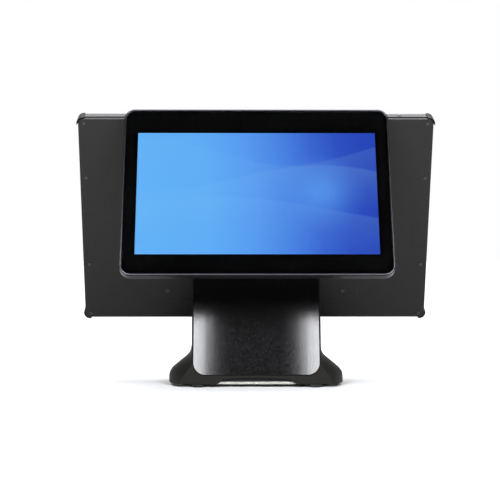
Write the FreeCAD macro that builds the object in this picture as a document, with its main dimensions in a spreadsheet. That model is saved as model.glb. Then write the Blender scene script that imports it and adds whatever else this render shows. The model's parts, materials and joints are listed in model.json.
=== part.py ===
import FreeCAD, Part
import math
import os
import Sketcher
from FreeCAD import Placement, Rotation, Vector

# Dual-screen counter terminal: a 15.6 inch computer unit on a leaning pedestal, with an
# 11.6 inch customer display on its back.  +X is right as the customer sees it, -Y points
# at the customer and +Z is up.  The origin is on the counter, under the tilt hinge.

doc = FreeCAD.newDocument("counter_terminal")
sheet = doc.addObject("Spreadsheet::Sheet", "Dims")

DRIVING_DIMENSIONS = [
    # counter stand
    ("base_width", 192.6),
    ("base_rear", 133.0),
    ("base_rear_radius", 28.0),
    ("foot_height", 3.2),
    ("deck_top", 12.8),
    ("wall", 3.0),
    ("plate_thick", 2.7),
    ("arch_width", 89.0),
    ("arch_top", 10.4),
    ("cable_arch_width", 46.0),
    ("cable_channel", 36.0),
    ("foot_radius", 7.4),
    ("foot_spread", 127.6),
    ("foot_front", 61.0),
    ("foot_rear", 116.0),
    ("foot_peg", 2.0),
    ("foot_peg_inset", 4.8),
    ("fixing_spacing", 100.0),
    ("fixing_centre", 55.0),
    ("fixing_radius", 2.1),
    # pedestal neck, measured in its own leaning frame
    ("neck_lean", 15.4),
    ("neck_start_y", 67.5),
    ("neck_start_z", 13.8),
    ("neck_width", 141.0),
    ("neck_skin", 2.5),
    ("neck_split", 24.0),
    ("neck_foot", 28.0),
    ("cover_width", 137.6),
    ("cover_thick", 1.5),
    ("cover_radius", 14.0),
    ("cover_length", 168.0),
    ("cover_flat", 48.0),
    ("cover_bend", 300.0),
    ("spine_half", 38.0),
    ("spine_sheet", 4.0),
    # tilt hinge between the stand and the main unit
    ("hinge_y", 8.0),
    ("hinge_z", 176.0),
    ("hinge_pin", 4.0),
    ("hinge_ear", 8.6),
    ("running_gap", 0.05),
    # main unit, measured from the centre of its rear face
    ("main_width", 395.6),
    ("main_height", 239.4),
    ("main_thick", 20.7),
    ("main_radius", 6.0),
    ("main_lean", 20.8),
    ("main_y", 9.9),
    ("main_z", 182.3),
    ("rear_flange", 5.5),
    ("seam", 2.5),
    ("sheet_steel", 1.2),
    ("frame_wall", 2.4),
    ("glass_thick", 1.9),
    ("lcd_width", 359.5),
    ("lcd_height", 217.0),
    ("lcd_thick", 3.2),
    ("screw_inset", 7.5),
    ("panel_width", 238.0),
    ("panel_height", 44.0),
    ("panel_bottom", 95.0),
    # customer display, measured from the centre of its glass
    ("disp_width", 287.4),
    ("disp_height", 197.6),
    ("disp_edge", 9.5),
    ("disp_radius", 12.0),
    ("disp_lean", 24.2),
    ("disp_y", 93.1),
    ("disp_z", 212.05),
    ("disp_rim", 2.0),
    ("disp_lcd_width", 268.0),
    ("disp_lcd_height", 157.0),
    ("disp_lcd_thick", 3.0),
    ("disp_lcd_drop", 1.75),
    ("hump_width", 190.0),
    ("hump_height", 118.0),
    ("hump_depth", 10.5),
    ("pivot_up", 30.0),
    ("pivot_back", 34.0),
    ("pivot_pin", 3.0),
    # power button on the main unit's top edge
    ("button_x", 160.0),
    ("button_radius", 2.4),
]


class Size:
    """A number that remembers the sheet expression it came from."""

    def __init__(self, number, text):
        self.number = number
        self.text = text

    def _with(self, other, sign, number):
        other_text = other.text if isinstance(other, Size) else repr(other)
        return Size(number, "(" + self.text + " " + sign + " " + other_text + ")")

    def __add__(self, other):
        return self._with(other, "+", self.number + plain(other))

    def __sub__(self, other):
        return self._with(other, "-", self.number - plain(other))

    def __mul__(self, other):
        return self._with(other, "*", self.number * plain(other))

    def __truediv__(self, other):
        return self._with(other, "/", self.number / plain(other))

    def __neg__(self):
        return Size(-self.number, "(-" + self.text + ")")


def plain(size):
    return size.number if isinstance(size, Size) else float(size)


def text_of(size):
    return size.text if isinstance(size, Size) else repr(float(size))


class Dimensions:
    pass


D = Dimensions()
for row, (alias, number) in enumerate(DRIVING_DIMENSIONS, start=1):
    sheet.set("A" + str(row), alias)
    sheet.set("B" + str(row), str(number))
    sheet.setAlias("B" + str(row), alias)
    setattr(D, alias, Size(number, "Dims." + alias))
doc.recompute()

parts = {}


# ---------------------------------------------------------------- frames

class Frame:
    """A leaning local frame: x right, y up along the panel, z out of its face."""

    def __init__(self, y, z, angle):
        self.y = y
        self.z = z
        self.angle = angle

    def put(self, item):
        item.Placement = Placement(Vector(0, 0, 0), Rotation(Vector(1, 0, 0), 10))
        item.setExpression("Placement.Base.y", text_of(self.y))
        item.setExpression("Placement.Base.z", text_of(self.z))
        item.setExpression("Placement.Rotation.Angle", text_of(self.angle))

    def placement(self):
        turn = Rotation(Vector(1, 0, 0), plain(self.angle))
        return Placement(Vector(0, plain(self.y), plain(self.z)), turn)


main_frame = Frame(D.main_y, D.main_z, D.main_lean + 90)
disp_frame = Frame(-D.disp_y, D.disp_z, -D.disp_lean + 90)
neck_frame = Frame(-D.neck_start_y, D.neck_start_z, -D.neck_lean + 90)


# ---------------------------------------------------------------- primitives

def fresh(kind, name):
    return doc.addObject(kind, name)


def set_size(item, path, size):
    item.setExpression(path, text_of(size))


def box(x, y, z):
    """A box from three (low, high) pairs."""
    item = fresh("Part::Box", "block")
    for name, letter, (low, high) in (("Length", "x", x), ("Width", "y", y), ("Height", "z", z)):
        span = high - low if isinstance(high, Size) else Size(high, repr(high)) - low
        set_size(item, name, span)
        set_size(item, "Placement.Base." + letter, low)
    return item


AXIS_TURN = {
    "x": Rotation(Vector(0, 1, 0), 90),
    "y": Rotation(Vector(1, 0, 0), -90),
    "z": Rotation(),
}


def cylinder(radius, length, at, axis="z"):
    """A cylinder that runs from `at` along +axis."""
    item = fresh("Part::Cylinder", "round")
    item.Placement = Placement(Vector(0, 0, 0), AXIS_TURN[axis])
    set_size(item, "Radius", radius)
    set_size(item, "Height", length)
    for letter, size in zip("xyz", at):
        set_size(item, "Placement.Base." + letter, size)
    return item


def cone(low_radius, high_radius, length, at):
    item = fresh("Part::Cone", "taper")
    set_size(item, "Radius1", low_radius)
    set_size(item, "Radius2", high_radius)
    set_size(item, "Height", length)
    for letter, size in zip("xyz", at):
        set_size(item, "Placement.Base." + letter, size)
    return item


def fuse(*items):
    joined = fresh("Part::MultiFuse", "joined")
    joined.Shapes = list(items)
    joined.Refine = True
    return joined


def cut(base, *tools):
    for tool in tools:
        rest = fresh("Part::Cut", "trimmed")
        rest.Base = base
        rest.Tool = tool
        base = rest
    return base


def common(first, second):
    both = fresh("Part::MultiCommon", "shared")
    both.Shapes = [first, second]
    return both


def group(items):
    together = fresh("Part::Compound", "group")
    together.Links = list(items)
    return together


def finish(label, item, frame=None):
    """Names a finished sub-part and stands it in its frame."""
    if frame is not None and item.TypeId in ("Part::Box", "Part::Cylinder"):
        item = group([item])
    item.Label = label
    if frame is not None:
        frame.put(item)
    parts[label] = item
    return item


# ---------------------------------------------------------------- sketched bodies

def name_constraint(sketch, constraint, name, size):
    index = sketch.addConstraint(constraint)
    sketch.renameConstraint(index, name)
    if isinstance(size, Size):
        sketch.setExpression("Constraints." + name, size.text)


def rounded(width, height, radius, x=0.0, y=0.0):
    return ("rounded", width, height, radius, x, y)


def circle(radius, x=0.0, y=0.0):
    return ("circle", radius, x, y)


def draw_circle(sketch, radius, x, y):
    centre = Vector(plain(x), plain(y), 0)
    edge = sketch.addGeometry(Part.Circle(centre, Vector(0, 0, 1), plain(radius)))
    make = Sketcher.Constraint
    tag = str(edge)
    name_constraint(sketch, make("Radius", edge, plain(radius)), "radius" + tag, radius)
    name_constraint(sketch, make("DistanceX", -1, 1, edge, 3, plain(x)), "across" + tag, x)
    name_constraint(sketch, make("DistanceY", -1, 1, edge, 3, plain(y)), "up" + tag, y)


def draw_rounded(sketch, width, height, radius, x, y):
    """Four lines joined by four tangent arcs, fully constrained."""
    half_w, half_h, r = plain(width) / 2, plain(height) / 2, plain(radius)
    cx, cy = plain(x), plain(y)
    up = Vector(0, 0, 1)
    inner_w, inner_h = half_w - r, half_h - r
    corners = [(inner_w, -inner_h), (inner_w, inner_h), (-inner_w, inner_h), (-inner_w, -inner_h)]
    lines = [
        ((-inner_w, -half_h), (inner_w, -half_h)),
        ((half_w, -inner_h), (half_w, inner_h)),
        ((inner_w, half_h), (-inner_w, half_h)),
        ((-half_w, inner_h), (-half_w, -inner_h)),
    ]
    edges = []
    for turn in range(4):
        (ax, ay), (bx, by) = lines[turn]
        line = Part.LineSegment(Vector(cx + ax, cy + ay, 0), Vector(cx + bx, cy + by, 0))
        edges.append(sketch.addGeometry(line))
        px, py = corners[turn]
        arc = Part.Circle(Vector(cx + px, cy + py, 0), up, r)
        start = (turn - 1) * math.pi / 2
        edges.append(sketch.addGeometry(Part.ArcOfCircle(arc, start, start + math.pi / 2)))
    make = Sketcher.Constraint
    for index, edge in enumerate(edges):
        sketch.addConstraint(make("Tangent", edge, 2, edges[(index + 1) % 8], 1))
    for index, kind in ((0, "Horizontal"), (4, "Horizontal"), (2, "Vertical"), (6, "Vertical")):
        sketch.addConstraint(make(kind, edges[index]))
    for index in (3, 5, 7):
        sketch.addConstraint(make("Equal", edges[1], edges[index]))
    tag = str(edges[0])
    name_constraint(sketch, make("Radius", edges[1], r), "radius" + tag, radius)
    wide = make("DistanceX", edges[6], 1, edges[2], 1, 2 * half_w)
    name_constraint(sketch, wide, "width" + tag, width)
    tall = make("DistanceY", edges[0], 1, edges[4], 1, 2 * half_h)
    name_constraint(sketch, tall, "height" + tag, height)
    right = Size(cx, text_of(x)) + width / 2 if isinstance(width, Size) else cx + half_w
    top = Size(cy, text_of(y)) + height / 2 if isinstance(height, Size) else cy + half_h
    name_constraint(sketch, make("DistanceX", -1, 1, edges[2], 1, cx + half_w), "right" + tag, right)
    name_constraint(sketch, make("DistanceY", -1, 1, edges[4], 1, cy + half_h), "top" + tag, top)


DRAW = {"rounded": draw_rounded, "circle": draw_circle}


class Plate:
    """A body built from pads and pockets, each given by its low and high z."""

    def __init__(self, label):
        self.body = fresh("PartDesign::Body", label + "_body")
        self.label = label

    def sketch(self, z, outlines):
        sketch = self.body.newObject("Sketcher::SketchObject", "outline")
        plane = [f for f in self.body.Origin.OriginFeatures if f.Role == "XY_Plane"][0]
        sketch.AttachmentSupport = [(plane, "")]
        sketch.MapMode = "FlatFace"
        sketch.setExpression("AttachmentOffset.Base.z", text_of(z))
        for kind, *numbers in outlines:
            DRAW[kind](sketch, *numbers)
        return sketch

    def add(self, kind, z, depth, outlines):
        feature = self.body.newObject(kind, "step")
        feature.Profile = self.sketch(z, outlines)
        set_size(feature, "Length", depth)
        return feature

    def pad(self, low, high, *outlines):
        self.add("PartDesign::Pad", low, Size(plain(high), text_of(high)) - low, outlines)
        return self

    def pocket(self, low, high, *outlines):
        depth = Size(plain(high), text_of(high)) - low
        self.add("PartDesign::Pocket", high, depth, outlines)
        return self

    def soften(self, kind, radius, wanted):
        """Fillets or chamfers the edges that `wanted` accepts."""
        doc.recompute()
        tip = self.body.Tip
        names = ["Edge" + str(i) for i, e in enumerate(tip.Shape.Edges, start=1) if wanted(e)]
        feature = self.body.newObject("PartDesign::" + kind, "edge")
        feature.Base = (tip, names)
        set_size(feature, "Size" if kind == "Chamfer" else "Radius", radius)
        return self

    def done(self, frame=None):
        return finish(self.label, self.body, frame)


def rim_edges(z, width, height):
    """Accepts the edges of an outline of this width and height that lie at height z."""
    def wanted(edge):
        span = edge.BoundBox
        level = abs(span.ZMin - plain(z)) < 0.01 and abs(span.ZMax - plain(z)) < 0.01
        across = max(abs(span.XMin), abs(span.XMax)) > plain(width) / 2 - 0.01
        along = max(abs(span.YMin), abs(span.YMax)) > plain(height) / 2 - 0.01
        return level and (across or along)
    return wanted


def mirrored(x):
    return (-x, x)


def spots(x, y):
    """The four corners (+-x, +-y)."""
    return [(a, b) for a in mirrored(x) for b in mirrored(y)]


def screws(label, places, head, shank, frame=None):
    """Pan-head screws with hex sockets.  head: radius, z low, z high; shank: radius, z end."""
    head_radius, seat, top = head
    shank_radius, end = shank
    made = []
    for x, y in places:
        socket = fresh("Part::Prism", "socket")
        set_size(socket, "Circumradius", Size(head_radius, repr(head_radius)) * 0.5)
        set_size(socket, "Height", abs(top - seat))
        low = seat + (top - seat) * 0.45 if top > seat else top - (top - seat) * -0.45
        for letter, size in zip("xyz", (x, y, low)):
            set_size(socket, "Placement.Base." + letter, size)
        cap = cylinder(head_radius, abs(top - seat), (x, y, min(seat, top)))
        stem = cylinder(shank_radius, abs(end - seat), (x, y, min(seat, end)))
        made.append(cut(fuse(cap, stem), socket))
    return finish(label, group(made), frame)


# ---------------------------------------------------------------- counter stand

half_base = D.base_width / 2
deck_inset = 0.8
flare_top = 43.2
flare_steps = 24


def flare_profile(height, inset):
    """Half widths of the flared foot at one height: at its front crease and at its side."""
    side = plain(half_base)
    neck = 71.9
    slope = math.radians(40.0)
    bend, shoulder = 16.0, 10.7
    # side curve: upright at the neck, a 40 degree ramp, upright again at the wing
    bend_drop = bend * math.cos(slope)
    bend_out = bend * (1 - math.sin(slope))
    shoulder_out = shoulder * (1 - math.sin(slope))
    ramp_out = side - neck - bend_out - shoulder_out
    ramp_drop = ramp_out * math.tan(slope)
    ramp_low = flare_top - bend_drop - ramp_drop
    if height >= flare_top - bend_drop:
        angle = math.asin(min(1.0, (flare_top - height) / bend))
        outer = neck + bend * (1 - math.cos(angle))
    elif height >= ramp_low:
        outer = neck + bend_out + (flare_top - bend_drop - height) / math.tan(slope)
    else:
        rise = height - (ramp_low - shoulder * math.cos(slope))
        angle = math.asin(max(0.0, min(1.0, rise / shoulder)))
        outer = side - shoulder * (1 - math.cos(angle))
    crease_low, crease_high = 85.9, 69.6
    crease_bottom, crease_top = plain(D.foot_height), 25.5
    share = min(1.0, max(0.0, (height - crease_bottom) / (crease_top - crease_bottom)))
    crease = min(crease_low + (crease_high - crease_low) * share, outer - 0.9)
    return crease - inset, outer - inset


def front_face(height):
    """Y of the front face, which carries on the neck's leaning plane."""
    lean = math.radians(plain(D.neck_lean))
    behind_cover = (plain(D.cover_thick) + 0.4) / math.cos(lean)
    rise = height - plain(D.neck_start_z)
    return -plain(D.neck_start_y) + rise * math.tan(lean) + behind_cover


def rear_face(height):
    """Y of the flare's back, a concave ramp from the neck down to the deck."""
    neck_back, radius = 9.0, 40.0
    drop = min(flare_top - height, radius * 0.999)
    return neck_back + radius - math.sqrt(radius ** 2 - drop ** 2)


def bend_back(across, share=1.0):
    """How far a bent front falls back at a distance from the middle, and where `share` of
    the bend lies."""
    flat, bend = plain(D.cover_flat) / 2, plain(D.cover_bend)
    turn = math.asin((across - flat) / bend) * share
    return flat + bend * math.sin(turn), bend * (1 - math.cos(turn))


def flare_section(height, inset):
    """One level of the flared foot: a closed wire of lines and arcs."""
    crease, outer = flare_profile(height, inset)
    front = front_face(height) + inset
    flat = plain(D.cover_flat) / 2
    middle_x, middle_fall = bend_back(crease, 0.5)
    crease_y = front + bend_back(crease)[1]
    corner_depth = 38.0
    swell = max(outer - crease, 0.3)
    radius = (corner_depth ** 2 + swell ** 2) / (2 * swell)
    mid = math.asin(corner_depth / radius) / 2
    rear = rear_face(height) - inset
    back_radius = 16.0 - inset
    back_straight = rear - back_radius
    back_mid = back_radius * (1 - math.sqrt(0.5))
    side_start = crease_y + corner_depth
    bulge = (outer - radius * (1 - math.cos(mid)), side_start - radius * math.sin(mid))
    right = [
        Part.Arc(
            Vector(flat, front, height),
            Vector(middle_x, front + middle_fall, height),
            Vector(crease, crease_y, height),
        ),
        Part.Arc(
            Vector(crease, crease_y, height),
            Vector(bulge[0], bulge[1], height),
            Vector(outer, side_start, height),
        ),
        Part.LineSegment(Vector(outer, side_start, height), Vector(outer, back_straight, height)),
        Part.Arc(
            Vector(outer, back_straight, height),
            Vector(outer - back_mid, rear - back_mid, height),
            Vector(outer - back_radius, rear, height),
        ),
    ]
    right = [curve.toShape() for curve in right]
    left = [edge.mirror(Vector(0, 0, 0), Vector(1, 0, 0)) for edge in right]
    front_edge = Part.makeLine(Vector(-flat, front, height), Vector(flat, front, height))
    back = outer - back_radius
    back_edge = Part.makeLine(Vector(back, rear, height), Vector(-back, rear, height))
    edges = [front_edge] + right + [back_edge] + left[::-1]
    return Part.Wire(Part.__sortEdges__(edges))


def flare_solid(levels, inset):
    return Part.makeLoft([flare_section(level, inset) for level in levels], True, True)


def deck_slab(low, high, inset):
    """The low rear slab of the base: a rectangle with round rear corners."""
    outer = plain(half_base) - inset
    front = -15.0
    rear = plain(D.base_rear) - inset
    radius = plain(D.base_rear_radius) - inset
    corner_mid = radius * (1 - math.sqrt(0.5))
    corner = Part.Arc(
        Vector(outer, rear - radius, low),
        Vector(outer - corner_mid, rear - corner_mid, low),
        Vector(outer - radius, rear, low),
    ).toShape()
    right = [Part.makeLine(Vector(outer, front, low), Vector(outer, rear - radius, low)), corner]
    left = [edge.mirror(Vector(0, 0, 0), Vector(1, 0, 0)) for edge in right]
    back = outer - radius
    ends = [
        Part.makeLine(Vector(-outer, front, low), Vector(outer, front, low)),
        Part.makeLine(Vector(back, rear, low), Vector(-back, rear, low)),
    ]
    wire = Part.Wire(Part.__sortEdges__(right + left + ends))
    return Part.Face(wire).extrude(Vector(0, 0, high - low))


def foot_slab(low, high, inset):
    """A flat slab with the outline of the whole base."""
    front = Part.Face(flare_section(plain(D.foot_height), inset))
    front.translate(Vector(0, 0, low - plain(D.foot_height)))
    front = front.extrude(Vector(0, 0, high - low))
    return front.fuse(deck_slab(low, high, inset + deck_inset)).removeSplitter()


def arch(width, low, top, y_low, y_high):
    """A flat-topped arch that cuts through a wall."""
    half = width / 2
    shoulder = half - 9.0
    rise = top - 1.8
    edges = [
        Part.makeLine(Vector(-half, y_low, low), Vector(-shoulder, y_low, rise)),
        Part.Arc(
            Vector(-shoulder, y_low, rise), Vector(0, y_low, top), Vector(shoulder, y_low, rise)
        ).toShape(),
        Part.makeLine(Vector(shoulder, y_low, rise), Vector(half, y_low, low)),
        Part.makeLine(Vector(half, y_low, low), Vector(-half, y_low, low)),
    ]
    return Part.Face(Part.Wire(edges)).extrude(Vector(0, y_high - y_low, 0))


def neck_outline(length, start, inset, depth):
    """The neck's section, flat in the middle and bent back at both sides, drawn out along y."""
    half = plain(D.neck_width) / 2 - inset
    flat = plain(D.cover_flat) / 2
    level = -(plain(D.cover_thick) + 0.1) - inset
    side = half - 0.01
    fall = bend_back(side)[1]
    middle_x, middle_fall = bend_back(side, 0.5)
    right = Part.Arc(
        Vector(flat, start, level),
        Vector(middle_x, start, level - middle_fall),
        Vector(side, start, level - fall),
    ).toShape()
    left = right.mirror(Vector(0, 0, 0), Vector(1, 0, 0))
    edges = [
        Part.makeLine(Vector(-flat, start, level), Vector(flat, start, level)),
        right,
        Part.makeLine(Vector(side, start, level - fall), Vector(side, start, -depth)),
        Part.makeLine(Vector(side, start, -depth), Vector(-side, start, -depth)),
        Part.makeLine(Vector(-side, start, -depth), Vector(-side, start, level - fall)),
        left,
    ]
    face = Part.Face(Part.Wire(Part.__sortEdges__(edges)))
    return face.extrude(Vector(0, length, 0))


def neck_side(inset, foot):
    """The neck seen from its side: leaning front, round top about the hinge, upright back."""
    hinge = Vector(0, -plain(D.hinge_y), plain(D.hinge_z))
    radius = 12.7 - inset
    half_width = 90.0
    back_low = Vector(0, 1.5 - inset, foot)
    lean = math.radians(plain(D.neck_lean))
    forward = Vector(0, -math.cos(lean), math.sin(lean))
    tangent = hinge + forward * radius
    low_front = Vector(0, tangent.y - (tangent.z - foot) * math.tan(lean), foot)
    back_high = hinge + Vector(0, radius, 0)
    crown = hinge + Vector(0, 0.15, 1).normalize() * radius
    edges = [
        Part.makeLine(low_front, tangent),
        Part.Arc(tangent, crown, back_high).toShape(),
        Part.makeLine(back_high, back_low),
        Part.makeLine(back_low, low_front),
    ]
    face = Part.Face(Part.Wire(edges))
    face.translate(Vector(-half_width, 0, 0))
    return face.extrude(Vector(2 * half_width, 0, 0))


def neck_solid(inset, foot):
    bar = neck_outline(260.0, -40.0, inset, 110.0)
    bar.Placement = neck_frame.placement()
    return bar.common(neck_side(inset, foot))


def shape_part(label, shape):
    item = fresh("Part::Feature", label + "_shape")
    item.Shape = shape
    return finish(label, item)


plate_low = D.foot_height
plate_high = D.foot_height + D.plate_thick
plate_screw_places = [(x, y) for x in mirrored(84.0) for y in (-20.0, 30.0, 90.0)]
base_low = plain(D.foot_height)
level_gap = (flare_top - base_low) / flare_steps
LEVELS = [base_low + level_gap * step for step in range(flare_steps + 1)]
outer_flare = flare_solid(LEVELS, 0.0)
outer_deck = deck_slab(base_low + 0.2, plain(D.deck_top), deck_inset)
deck_rims = [
    edge for edge in outer_deck.Edges
    if edge.BoundBox.ZMin > plain(D.deck_top) - 0.1 and edge.BoundBox.YMax > -20
]
outer_deck = outer_deck.makeFillet(5.0, deck_rims)
inner_flare = flare_solid([level for level in LEVELS if level < 27], plain(D.wall))
inner_flare.translate(Vector(0, 0, -0.4))
inner_deck = deck_slab(base_low - 1.0, plain(D.deck_top) - plain(D.wall), plain(D.wall) + deck_inset)
neck_hole = neck_solid(-0.3, plain(D.neck_foot) - 0.3)
cable_well = Part.makeBox(100.0, 51.0, 14.0, Vector(-50.0, -57.0, 20.0))
outside = outer_flare.fuse(outer_deck).removeSplitter()
housing = outside.cut(inner_flare).cut(inner_deck).cut(neck_hole).cut(cable_well)
front_arch = arch(plain(D.arch_width), base_low - 1.0, plain(D.arch_top), -80.0, -60.0)
rear_arch = arch(plain(D.cable_arch_width), base_low - 1.0, plain(D.arch_top), 120.0, 140.0)
housing = housing.cut(front_arch).cut(rear_arch)
# posts under the roof take the base plate's screws
post_low = plain(plate_high) + 0.1
for x, y in plate_screw_places:
    post = Part.makeCylinder(3.6, 22.0, Vector(x, y, post_low)).common(outside)
    pilot = Part.makeCylinder(1.5, 3.6, Vector(x, y, post_low))
    housing = housing.fuse(post).cut(pilot)
shape_part("base_housing", housing)

feet_places = [
    (x, y) for x in mirrored(D.foot_spread / 2) for y in (-D.foot_front, D.foot_rear)
]
spine_bolt_places = [(x, y) for x in mirrored(24.0) for y in (-44.0, -17.0)]
spine_bolt_radius, self_tap_radius = 3.0, 1.5


def peg_y(foot_y):
    """The foot's peg sits nearer the middle than its pad, clear of the housing's wall."""
    return foot_y - D.foot_peg_inset if plain(foot_y) > 0 else foot_y + D.foot_peg_inset


def base_plate():
    """Steel floor of the base, with holes for feet, screws and a slot for the cables."""
    blank = fresh("Part::Feature", "plate_blank")
    blank.Shape = foot_slab(plain(plate_low), plain(plate_high), plain(D.wall) + 1.5)
    below, above = 1.0, 9.0
    deep = above - below
    tools = []
    for x, y in feet_places:
        tools.append(cylinder(D.foot_peg, deep, (x, peg_y(y), below)))
    for x, y in spots(D.fixing_spacing / 2, D.fixing_spacing / 2):
        tools.append(cylinder(D.fixing_radius, deep, (x, D.fixing_centre + y, below)))
    for x, y in spine_bolt_places:
        tools.append(cylinder(spine_bolt_radius, deep, (x, y, below)))
    for x, y in plate_screw_places:
        tools.append(cylinder(self_tap_radius, deep, (x, y, below)))
    half_channel = D.cable_channel / 2
    tools.append(box((-half_channel, half_channel), (0.0, D.base_rear), (below, above)))
    return finish("base_plate", cut(blank, fuse(*tools)))


base_plate()

feet = []
for x, y in feet_places:
    pad = cone(D.foot_radius - 0.6, D.foot_radius, 1.0, (x, y, 0.0))
    body = cylinder(D.foot_radius, D.foot_height - 1.0, (x, y, 1.0))
    peg = cylinder(D.foot_peg, 3.4, (x, peg_y(y), D.foot_height - 0.2))
    feet.append(fuse(pad, body, peg))
finish("rubber_feet", group(feet))

screws(
    "base_plate_screws", plate_screw_places,
    (2.8, plain(plate_low), plain(plate_low) - 1.4), (self_tap_radius, plain(plate_high) + 3.4),
)

# ---------------------------------------------------------------- pedestal neck

neck_outer = neck_solid(0.0, plain(D.neck_foot))
neck_inner = neck_solid(plain(D.neck_skin), plain(D.neck_foot) - 5.0)
neck_shell = neck_outer.cut(neck_inner)
split = -plain(D.neck_split)
front_half = Part.makeBox(200.0, 300.0, 100.0, Vector(-100.0, -60.0, split + 0.1))
rear_half = Part.makeBox(200.0, 300.0, 120.0, Vector(-100.0, -60.0, split - 120.1))
front_half.Placement = neck_frame.placement()
rear_half.Placement = neck_frame.placement()
neck_front = neck_shell.common(front_half)
# the hinge plate's ears swing through this slot in the crown
slot_half, slot_front, slot_low = 46.0, -11.5, 166.0
window_front, window_low = -12.0, 152.0
top_slot = Part.makeBox(2 * slot_half, 33.5, 40.0, Vector(-slot_half, slot_front, slot_low))
hinge_window = Part.makeBox(
    2 * slot_half, 40.0, 60.0, Vector(-slot_half, window_front, window_low)
)
shape_part("neck_front_shell", neck_front.cut(top_slot))
shape_part("neck_rear_cover", neck_shell.common(rear_half).cut(hinge_window))


def cover_plate():
    """Satin sheet-metal front cover with round lower corners."""
    outer = neck_outline(plain(D.cover_length) + 60.0, 0.0, -plain(D.cover_thick), 60.0)
    inner = neck_outline(plain(D.cover_length) + 80.0, -5.0, -0.1, 70.0)
    window = Plate("cover_window")
    half_length = D.cover_length / 2
    face = rounded(D.cover_width, D.cover_length, D.cover_radius, 0.0, half_length)
    window.pad(-30.0, 10.0, face)
    doc.recompute()
    skin = outer.cut(inner).common(window.body.Shape)
    skin.Placement = neck_frame.placement()
    doc.removeObject(window.body.Name)
    return shape_part("neck_cover_plate", skin)


cover_plate()

spine_low, spine_high = -3.0, 146.0
flange_low, flange_high = 1.0, 150.0
spine_front, spine_back = -8.0, -22.9
spine_foot_thick = 3.8
hinge_at = Vector(0, -plain(D.hinge_y), plain(D.hinge_z))
hinge_in_neck = neck_frame.placement().inverse().multVec(hinge_at)
hinge_up, hinge_out = hinge_in_neck.y, hinge_in_neck.z


def spine():
    """Folded steel spine: a web, two side flanges that end in hinge ears, and a foot."""
    half, sheet_thick = D.spine_half, D.spine_sheet
    web = box((-half, half), (spine_low, spine_high), (spine_front - 4.0, spine_front))
    pieces = [web]
    for side in (-1, 1):
        low = -half if side < 0 else half - sheet_thick
        high = -half + sheet_thick if side < 0 else half
        pieces.append(box((low, high), (flange_low, flange_high), (spine_back, spine_front)))
        ear_low = flange_high - 1.0
        pieces.append(box((low, high), (ear_low, hinge_up), (spine_back, D.hinge_ear + hinge_out)))
        pieces.append(cylinder(D.hinge_ear, sheet_thick, (low, hinge_up, hinge_out), "x"))
    bore = cylinder(D.hinge_pin, half * 2 + 10, (-half - 5, hinge_up, hinge_out), "x")
    cable_hole = cylinder(9.0, 20.0, (0.0, 60.0, -20.0))
    upright = cut(fuse(*pieces), bore, cable_hole)
    neck_frame.put(upright)
    foot = box((-half, half), (-60.0, -8.0), (plate_high, plate_high + spine_foot_thick))
    holes = [cylinder(spine_bolt_radius, 20.0, (x, y, 1.0)) for x, y in spine_bolt_places]
    return finish("neck_spine", cut(fuse(upright, foot), fuse(*holes)))


spine()
spine_bolt_seat = plain(plate_high) + spine_foot_thick
screws(
    "spine_bolts", spine_bolt_places,
    (5.0, spine_bolt_seat, spine_bolt_seat + 3.8), (spine_bolt_radius, plain(plate_low)),
)

# each side of the hinge: a shaft through both ears, a friction washer between them and a nut
shafts, washers, nuts = [], [], []
for side in (-1, 1):
    low = 24.0 if side > 0 else -42.8
    shafts.append(cylinder(D.hinge_pin, 18.8, (low, hinge_up, hinge_out), "x"))
    low = 31.1 if side > 0 else -33.9
    disc = cylinder(7.6, 2.8, (low, hinge_up, hinge_out), "x")
    washers.append(cut(disc, cylinder(D.hinge_pin, 4.0, (low - 0.5, hinge_up, hinge_out), "x")))
    low = 38.0 if side > 0 else -42.5
    nut = fresh("Part::Prism", "nut")
    nut.Placement = Placement(Vector(0, 0, 0), AXIS_TURN["x"])
    set_size(nut, "Circumradius", 7.5)
    set_size(nut, "Height", 4.5)
    for letter, size in zip("xyz", (low, hinge_up, hinge_out)):
        set_size(nut, "Placement.Base." + letter, size)
    nuts.append(cut(nut, cylinder(D.hinge_pin, 6.0, (low - 0.7, hinge_up, hinge_out), "x")))
finish("hinge_shafts", group(shafts), neck_frame)
finish("hinge_washers", group(washers), neck_frame)
finish("hinge_nuts", group(nuts), neck_frame)

# ---------------------------------------------------------------- main unit

W, H, T = D.main_width, D.main_height, D.main_thick
seam_low = -(D.rear_flange + D.seam)
glass_low = -T + D.glass_thick + 0.1
ledge_low = glass_low
ledge_high = ledge_low + 1.5
lcd_low = ledge_high + 0.1
lcd_high = lcd_low + D.lcd_thick
bracket_low = lcd_high + 0.1
bracket_high = bracket_low + 1.0
chassis_low = bracket_high + 0.1
chassis_high = chassis_low + D.sheet_steel
cover_inside = -D.sheet_steel
screw_x = W / 2 - D.screw_inset
screw_rows = [114.0, 51.0, -53.0, -113.5]
rear_screw_places = [(x, y) for x in mirrored(screw_x) for y in screw_rows]
chassis_x = D.lcd_width / 2 + 2.7
chassis_places = [(x, y) for x in mirrored(chassis_x) for y in (-80.0, 0.0, 80.0)]
hinge_bolt_places = [(x, 0.5 + y) for x, y in spots(37.5, 37.5)]
panel_y = -D.panel_bottom + D.panel_height / 2
panel_screw_places = [(x, -85.2) for x in mirrored(101.2)]
arm_y = 61.6
arm_bolt_places = [(x, arm_y + y) for x, y in spots(24.0, 9.0)]
io_half, io_low, io_high = 92.0, -11.4, -1.6
edge_y = H / 2
button_z = -12.8


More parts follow.
